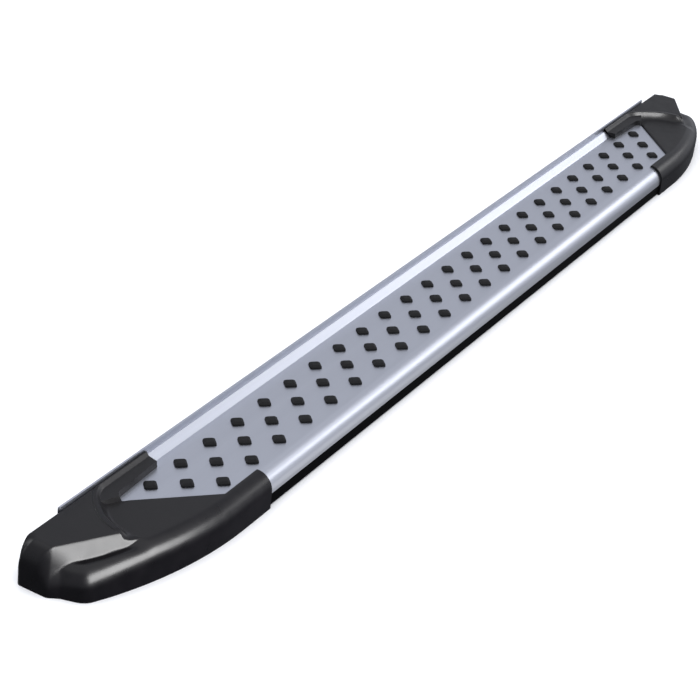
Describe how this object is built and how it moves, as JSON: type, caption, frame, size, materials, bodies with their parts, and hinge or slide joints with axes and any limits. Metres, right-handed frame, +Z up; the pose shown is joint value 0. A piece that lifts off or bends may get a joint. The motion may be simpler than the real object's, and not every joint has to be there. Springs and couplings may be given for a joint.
{
  "type": "running board",
  "caption": "Aluminium running board with staggered rubber studs, black moulded end caps, a dark lower trim and sliding bracket nuts underneath.",
  "frame": {"origin": "middle of the footprint, on the plane that the two end caps stand on", "axes": "+X along the board, +Y towards the vehicle, +Z up"},
  "size_m": [1.77, 0.14, 0.059],
  "materials": {
    "anodised_aluminium": "satin silver anodised extrusion",
    "mill_aluminium": "mill finish extrusion with faint die lines",
    "black_trim": "black extruded plastic, satin",
    "cap_plastic": "black moulded ABS, fine grain on the flats, glossier on the rolled arms",
    "stud_rubber": "black moulded rubber",
    "rivet_aluminium": "bright drawn aluminium",
    "zinc_steel": "zinc plated"
  },
  "bodies": {
    "board": {"deck_shell": "anodised_aluminium", "base_rail": "mill_aluminium", "front_trim": "black_trim", "stud_strip_rear": "stud_rubber", "stud_strip_middle": "stud_rubber", "stud_strip_front": "stud_rubber", "rear_rivets": "rivet_aluminium", "end_cap_left": "cap_plastic", "end_cap_right": "cap_plastic", "cap_screws_left": "zinc_steel", "cap_screws_right": "zinc_steel", "cap_washers_left": "zinc_steel", "cap_washers_right": "zinc_steel"},
    "nut_left_front": {"nut_left_front": "zinc_steel"},
    "nut_left_rear": {"nut_left_rear": "zinc_steel"},
    "nut_middle_front": {"nut_middle_front": "zinc_steel"},
    "nut_middle_rear": {"nut_middle_rear": "zinc_steel"},
    "nut_right_front": {"nut_right_front": "zinc_steel"},
    "nut_right_rear": {"nut_right_rear": "zinc_steel"}
  },
  "joints": [
    {"name": "nut_left_front_slide", "type": "slide", "parent": "board", "child": "nut_left_front", "axis": [1, 0, 0], "range_m": [-0.185, 0.185]},
    {"name": "nut_left_rear_slide", "type": "slide", "parent": "board", "child": "nut_left_rear", "axis": [1, 0, 0], "range_m": [-0.185, 0.185]},
    {"name": "nut_middle_front_slide", "type": "slide", "parent": "board", "child": "nut_middle_front", "axis": [1, 0, 0], "range_m": [-0.185, 0.185]},
    {"name": "nut_middle_rear_slide", "type": "slide", "parent": "board", "child": "nut_middle_rear", "axis": [1, 0, 0], "range_m": [-0.185, 0.185]},
    {"name": "nut_right_front_slide", "type": "slide", "parent": "board", "child": "nut_right_front", "axis": [1, 0, 0], "range_m": [-0.185, 0.185]},
    {"name": "nut_right_rear_slide", "type": "slide", "parent": "board", "child": "nut_right_rear", "axis": [1, 0, 0], "range_m": [-0.185, 0.185]}
  ]
}
